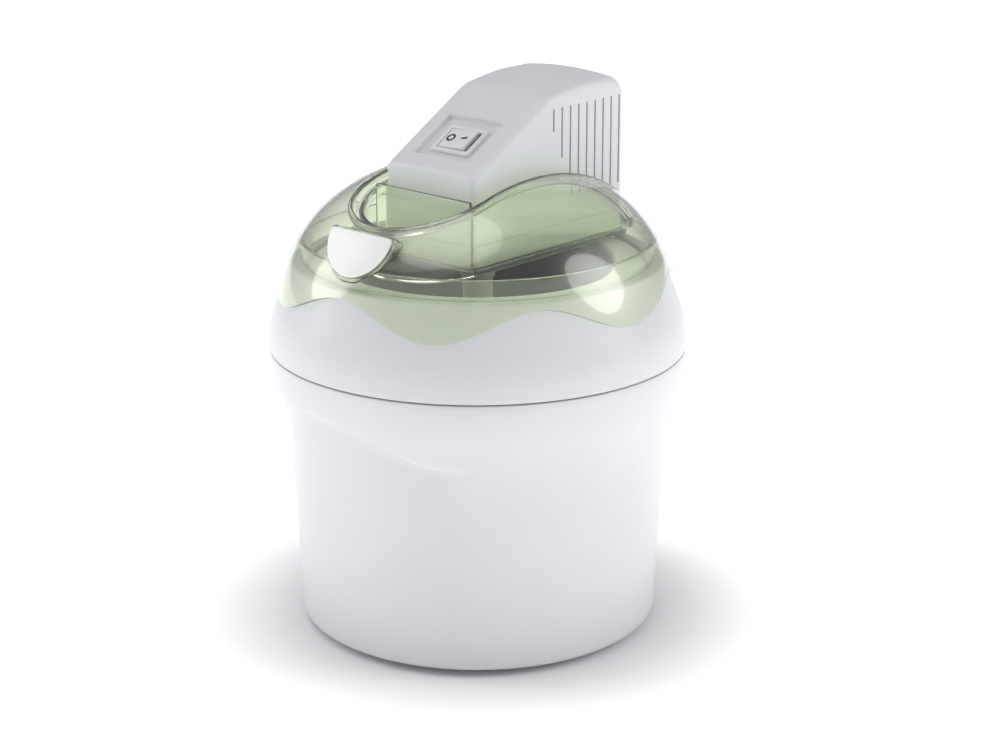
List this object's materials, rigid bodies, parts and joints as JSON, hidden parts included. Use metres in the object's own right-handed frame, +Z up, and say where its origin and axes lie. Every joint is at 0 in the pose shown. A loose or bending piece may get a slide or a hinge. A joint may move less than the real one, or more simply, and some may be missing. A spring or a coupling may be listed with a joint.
{
  "type": "ice cream maker",
  "caption": "Freezer-bowl ice cream maker: round casing, wavy translucent lid with refill opening, lift-off power unit driving a paddle.",
  "frame": {"origin": "centre of the base, on the surface it stands on", "axes": "+Z up, +X to the right, front towards -Y"},
  "size_m": [0.2098, 0.2098, 0.275],
  "materials": {
    "casing_white": "satin white ABS",
    "lid_green": "translucent pale green SAN",
    "plate_white": "satin white ABS",
    "liner_aluminium": "spun aluminium",
    "paddle_white": "natural polypropylene",
    "coolant_blue": "sealed coolant gel",
    "foot_rubber": "moulded rubber",
    "seal_rubber": "silicone",
    "screw_steel": "zinc plated steel",
    "shaft_steel": "turned steel",
    "plate_steel": "pressed steel",
    "can_steel": "drawn steel",
    "gear_plastic": "acetal",
    "bush_bronze": "sintered bronze",
    "copper": "copper",
    "magnet": "ferrite",
    "core_steel": "lacquered laminations and winding",
    "dark_plastic": "moulded nylon",
    "switch_white": "satin white nylon",
    "board": "glass fibre board",
    "capacitor": "cast epoxy"
  },
  "bodies": {
    "base": {"lower_casing": "casing_white", "collar": "casing_white", "feet": "foot_rubber"},
    "freezer_bowl": {"bowl_shell": "casing_white", "bowl_liner": "liner_aluminium", "coolant_fill": "coolant_blue", "bowl_rim_ring": "casing_white", "filling_plug": "seal_rubber"},
    "lid": {"lid_shell": "lid_green", "lid_front_plate": "plate_white", "shaft_seal": "seal_rubber"},
    "paddle": {"paddle": "paddle_white"},
    "power_unit": {"motor_cover": "casing_white", "motor_base": "casing_white", "cover_screws": "screw_steel", "gear_plate": "plate_steel", "gear_plate_screws": "screw_steel", "second_gear_pin": "shaft_steel", "first_gear_pin": "shaft_steel", "output_bush": "bush_bronze", "upper_bush": "bush_bronze", "motor_can": "can_steel", "motor_magnets": "magnet", "motor_end_cap": "dark_plastic", "brushes": "copper", "switch_body": "switch_white", "rocker_pin": "shaft_steel", "switch_terminals": "copper", "board_standoffs": "dark_plastic", "rectifier_board": "board", "suppressor_capacitor": "capacitor", "rectifier": "dark_plastic", "cord_gland": "dark_plastic"},
    "drive": {"output_gear": "gear_plastic", "drive_shaft": "shaft_steel"},
    "second_gear": {"second_gear": "gear_plastic"},
    "first_gear": {"first_gear": "gear_plastic"},
    "rotor": {"armature": "core_steel", "commutator": "copper", "motor_pinion": "bush_bronze", "cooling_fan": "dark_plastic"},
    "rocker": {"switch_rocker": "switch_white"}
  },
  "joints": [
    {"name": "bowl_lift", "type": "slide", "parent": "base", "child": "freezer_bowl", "axis": [0, 0, 1], "range_m": [0, 0.18]},
    {"name": "lid_lift", "type": "slide", "parent": "freezer_bowl", "child": "lid", "axis": [0, 0, 1], "range_m": [0, 0.16]},
    {"name": "power_unit_lift", "type": "slide", "parent": "lid", "child": "power_unit", "axis": [0, 0, 1], "range_m": [0, 0.08]},
    {"name": "paddle_spin", "type": "hinge", "parent": "lid", "child": "paddle", "pos_m": [0, 0, 0.12], "axis": [0, 0, 1], "continuous": true},
    {"name": "drive_spin", "type": "hinge", "parent": "power_unit", "child": "drive", "pos_m": [0, 0, 0.2], "axis": [0, 0, 1], "continuous": true},
    {"name": "second_gear_spin", "type": "hinge", "parent": "power_unit", "child": "second_gear", "pos_m": [0, 0.028, 0.205], "axis": [0, 0, 1], "continuous": true},
    {"name": "first_gear_spin", "type": "hinge", "parent": "power_unit", "child": "first_gear", "pos_m": [0.01066, 0.043, 0.21], "axis": [0, 0, 1], "continuous": true},
    {"name": "rotor_spin", "type": "hinge", "parent": "power_unit", "child": "rotor", "pos_m": [0, 0.058, 0.235], "axis": [0, 0, 1], "continuous": true},
    {"name": "switch_rock", "type": "hinge", "parent": "power_unit", "child": "rocker", "pos_m": [0, -0.01205, 0.24795], "axis": [0, 0.8732, 0.4874], "range_deg": [0, 16]}
  ],
  "couplings": [
    {"joint": "first_gear_spin", "follows": "rotor_spin", "ratio": -0.35294},
    {"joint": "second_gear_spin", "follows": "rotor_spin", "ratio": 0.12457},
    {"joint": "drive_spin", "follows": "rotor_spin", "ratio": -0.033973},
    {"joint": "paddle_spin", "follows": "rotor_spin", "ratio": -0.033973}
  ]
}
